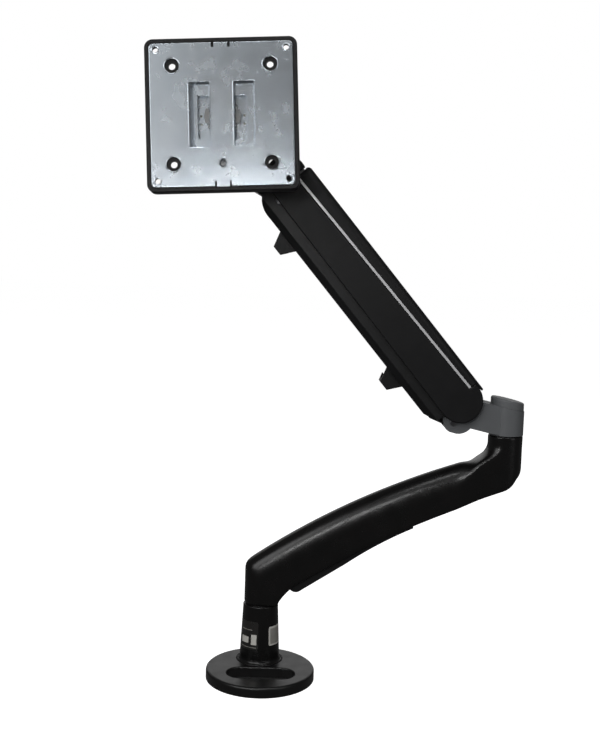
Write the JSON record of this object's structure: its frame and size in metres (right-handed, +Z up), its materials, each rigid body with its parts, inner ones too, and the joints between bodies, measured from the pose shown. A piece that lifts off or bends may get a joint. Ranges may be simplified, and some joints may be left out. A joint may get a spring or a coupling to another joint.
{
  "type": "monitor arm",
  "caption": "Gas-sprung desk monitor arm: round slotted base, curved lower arm, parallelogram spring arm, and a swivelling, tilting, turning square mounting plate.",
  "frame": {"origin": "on the base swivel's vertical axis, in the plane of the base's underside, at the mouth of the central clamp-bolt thread", "axes": "+Z up, +X along the lower arm as posed, -Y the side the mounting plate faces"},
  "size_m": [0.3192, 0.1083, 0.5261],
  "materials": {
    "black_paint": "satin black painted casting",
    "base_black": "smooth black painted steel",
    "black_plastic": "fine-grained black moulding",
    "link_black": "black powder-coated channel",
    "grey_paint": "grey painted casting",
    "beam_metal": "raw pressure casting",
    "bright_trim": "bright trim strip",
    "zinc_steel": "zinc-plated pressed steel",
    "pin_steel": "ground steel",
    "fastener_steel": "zinc-plated screws",
    "cylinder_black": "painted spring tube",
    "nylon": "natural nylon bearing",
    "foam": "dark foam pad"
  },
  "bodies": {
    "base": {"base_plate": "base_black", "base_pad": "foam", "base_post": "black_paint", "post_screws": "fastener_steel", "post_bushes": "nylon", "post_grub_screw": "fastener_steel", "base_thrust_washer": "nylon"},
    "lower_arm": {"lower_arm_casting": "black_paint", "base_shaft": "pin_steel", "shaft_grub_screw": "fastener_steel", "cable_cover": "black_plastic", "cable_cover_screws": "fastener_steel", "elbow_bushes": "nylon", "elbow_thrust_washer": "nylon", "elbow_grub_screw": "fastener_steel"},
    "elbow": {"elbow_bracket": "grey_paint", "elbow_cap": "grey_paint", "elbow_shaft": "pin_steel", "lift_pin": "pin_steel", "level_pin_lower": "pin_steel", "spring_anchor_pin": "pin_steel"},
    "upper_link": {"arm_beam": "beam_metal", "beam_bushes": "nylon", "side_cover_near": "black_plastic", "side_cover_far": "black_plastic", "side_cover_screws": "fastener_steel", "trim_strips": "bright_trim", "top_cover": "black_plastic", "gas_cylinder": "cylinder_black", "gas_gland": "cylinder_black", "spring_pin": "pin_steel"},
    "spring_rod": {"gas_rod": "pin_steel", "rod_eye": "pin_steel"},
    "lower_link": {"lower_link": "link_black", "cable_clip_upper": "black_plastic", "cable_clip_lower": "black_plastic"},
    "head": {"head_bracket": "black_paint", "head_pin": "pin_steel", "level_pin_upper": "pin_steel", "pan_bushes": "nylon"},
    "swivel_head": {"swivel_yoke": "black_paint", "pan_shaft": "pin_steel", "pan_washer": "fastener_steel", "pan_screw": "fastener_steel", "tilt_bolt": "fastener_steel", "tilt_nut": "fastener_steel"},
    "tilt_head": {"tilt_block": "black_paint", "tilt_washers": "nylon", "rotation_washer": "nylon", "rotation_nut": "fastener_steel"},
    "plate": {"rotor_plate": "zinc_steel", "carrier_plate": "zinc_steel", "carrier_screws": "fastener_steel", "plate_tray": "black_plastic", "rear_cover": "black_plastic", "vesa_plate": "zinc_steel", "lock_screw": "fastener_steel"}
  },
  "joints": [
    {"name": "base_swivel", "type": "hinge", "parent": "base", "child": "lower_arm", "pos_m": [0, 0, 0.059], "axis": [0, 0, 1], "range_deg": [-180, 180]},
    {"name": "elbow_swivel", "type": "hinge", "parent": "lower_arm", "child": "elbow", "pos_m": [0.2064, 0, 0.2127], "axis": [0, 0, 1], "range_deg": [-180, 180]},
    {"name": "arm_lift", "type": "hinge", "parent": "elbow", "child": "upper_link", "pos_m": [0.164, 0, 0.2427], "axis": [0, 1, 0], "range_deg": [-75, 2]},
    {"name": "link_swing", "type": "hinge", "parent": "elbow", "child": "lower_link", "pos_m": [0.1596, 0, 0.2235], "axis": [0, 1, 0], "range_deg": [-76, 3]},
    {"name": "rod_travel", "type": "slide", "parent": "upper_link", "child": "spring_rod", "axis": [0.5886, 0, -0.8084], "range_m": [-0.01369, 0.00066]},
    {"name": "head_level", "type": "hinge", "parent": "upper_link", "child": "head", "pos_m": [0.01166, 0, 0.42425], "axis": [0, 1, 0], "range_deg": [-3, 76]},
    {"name": "head_swivel", "type": "hinge", "parent": "head", "child": "swivel_head", "pos_m": [-0.0364, 0, 0.435], "axis": [0, 0, 1], "range_deg": [-171.5, 8.5]},
    {"name": "head_tilt", "type": "hinge", "parent": "swivel_head", "child": "tilt_head", "pos_m": [-0.03669, -0.0335, 0.4614], "axis": [1, -0.0087, 0], "range_deg": [-69, 20]},
    {"name": "plate_rotation", "type": "hinge", "parent": "tilt_head", "child": "plate", "pos_m": [-0.03697, -0.06537, 0.4643], "axis": [-0.0087, -0.9958, 0.0906], "range_deg": [-90, 90]}
  ],
  "couplings": [
    {"joint": "link_swing", "follows": "arm_lift", "ratio": 1},
    {"joint": "head_level", "follows": "arm_lift", "ratio": -1},
    {"joint": "rod_travel", "follows": "arm_lift", "m_per_rad": 0.01023}
  ]
}
